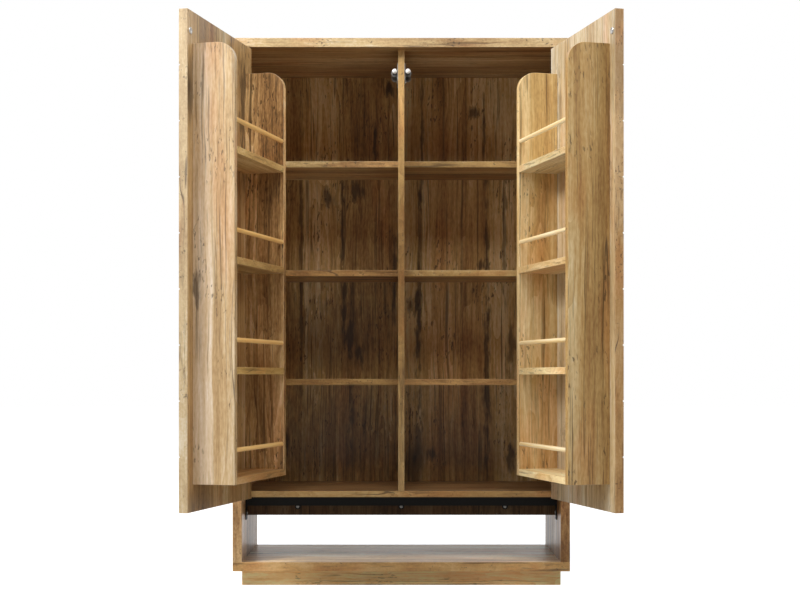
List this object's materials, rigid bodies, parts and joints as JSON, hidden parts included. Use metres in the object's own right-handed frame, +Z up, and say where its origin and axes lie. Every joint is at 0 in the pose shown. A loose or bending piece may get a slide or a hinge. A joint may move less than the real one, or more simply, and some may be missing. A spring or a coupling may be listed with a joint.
{
  "type": "kitchen buffet cabinet",
  "caption": "Tall oak cabinet on a recessed plinth with an open niche, shelves on both sides of a divider, and hinged doors that carry railed racks inside.",
  "frame": {"origin": "on the floor under the middle of the carcass footprint", "axes": "+Z up, +Y to the back, +X to the right of someone who faces the doors"},
  "size_m": [0.9364, 0.7225, 1.3],
  "materials": {
    "oak_board": "satin oak decor with long grain, dark streaks and small knots",
    "rail_wood": "satin lacquered turned hardwood",
    "dowel_wood": "raw beech",
    "black_steel": "matt black powder coat",
    "hinge_steel": "zinc plated",
    "screw_steel": "bright zinc plated",
    "strike_steel": "bright nickel",
    "spring_steel": "bare wire",
    "latch_bracket_grey": "moulded light grey",
    "latch_dark_grey": "moulded dark grey",
    "latch_tip_white": "smooth white"
  },
  "bodies": {
    "carcass": {"back_panel": "oak_board", "base_panel": "oak_board", "cabinet_floor": "oak_board", "carcass_dowels": "dowel_wood", "centre_divider": "oak_board", "hinge_frame_leaves": "hinge_steel", "hinge_frame_screws": "screw_steel", "hinge_pins": "hinge_steel", "latch_bracket_screws": "screw_steel", "latch_springs": "spring_steel", "left_latch_bracket": "latch_bracket_grey", "left_latch_tube": "latch_dark_grey", "left_plinth_end": "oak_board", "left_shelf_1": "oak_board", "left_shelf_2": "oak_board", "left_shelf_3": "oak_board", "left_side_panel": "oak_board", "niche_apron": "oak_board", "plinth_back": "oak_board", "plinth_brace": "oak_board", "plinth_front": "oak_board", "right_latch_bracket": "latch_bracket_grey", "right_latch_tube": "latch_dark_grey", "right_plinth_end": "oak_board", "right_shelf_1": "oak_board", "right_shelf_2": "oak_board", "right_shelf_3": "oak_board", "right_side_panel": "oak_board", "support_bar": "black_steel", "support_bar_screws": "screw_steel", "top_panel": "oak_board"},
    "left_door": {"left_door_panel": "oak_board", "left_door_screws": "screw_steel", "left_door_strike": "strike_steel", "left_hinge_door_leaves": "hinge_steel", "left_rack_dowels": "dowel_wood", "left_rack_free_side": "oak_board", "left_rack_hinge_side": "oak_board", "left_rack_rails": "rail_wood", "left_rack_shelf_1": "oak_board", "left_rack_shelf_2": "oak_board", "left_rack_shelf_3": "oak_board", "left_rack_shelf_4": "oak_board"},
    "left_latch_button": {"left_latch_plunger": "latch_dark_grey", "left_latch_tip": "latch_tip_white"},
    "right_door": {"right_door_panel": "oak_board", "right_door_screws": "screw_steel", "right_door_strike": "strike_steel", "right_hinge_door_leaves": "hinge_steel", "right_rack_dowels": "dowel_wood", "right_rack_free_side": "oak_board", "right_rack_hinge_side": "oak_board", "right_rack_rails": "rail_wood", "right_rack_shelf_1": "oak_board", "right_rack_shelf_2": "oak_board", "right_rack_shelf_3": "oak_board", "right_rack_shelf_4": "oak_board"},
    "right_latch_button": {"right_latch_plunger": "latch_dark_grey", "right_latch_tip": "latch_tip_white"}
  },
  "joints": [
    {"name": "left_door_hinge", "type": "hinge", "parent": "carcass", "child": "left_door", "pos_m": [-0.3765, -0.179, 0.74], "axis": [0, 0, -1], "range_deg": [-104.8, 5.2]},
    {"name": "right_door_hinge", "type": "hinge", "parent": "carcass", "child": "right_door", "pos_m": [0.3765, -0.179, 0.74], "axis": [0, 0, 1], "range_deg": [-104.8, 5.2]},
    {"name": "left_latch_press", "type": "slide", "parent": "carcass", "child": "left_latch_button", "axis": [0, 1, 0], "range_m": [0, 0.003], "stiffness_N_per_m": 400, "springref_m": -0.004},
    {"name": "right_latch_press", "type": "slide", "parent": "carcass", "child": "right_latch_button", "axis": [0, 1, 0], "range_m": [0, 0.003], "stiffness_N_per_m": 400, "springref_m": -0.004}
  ]
}
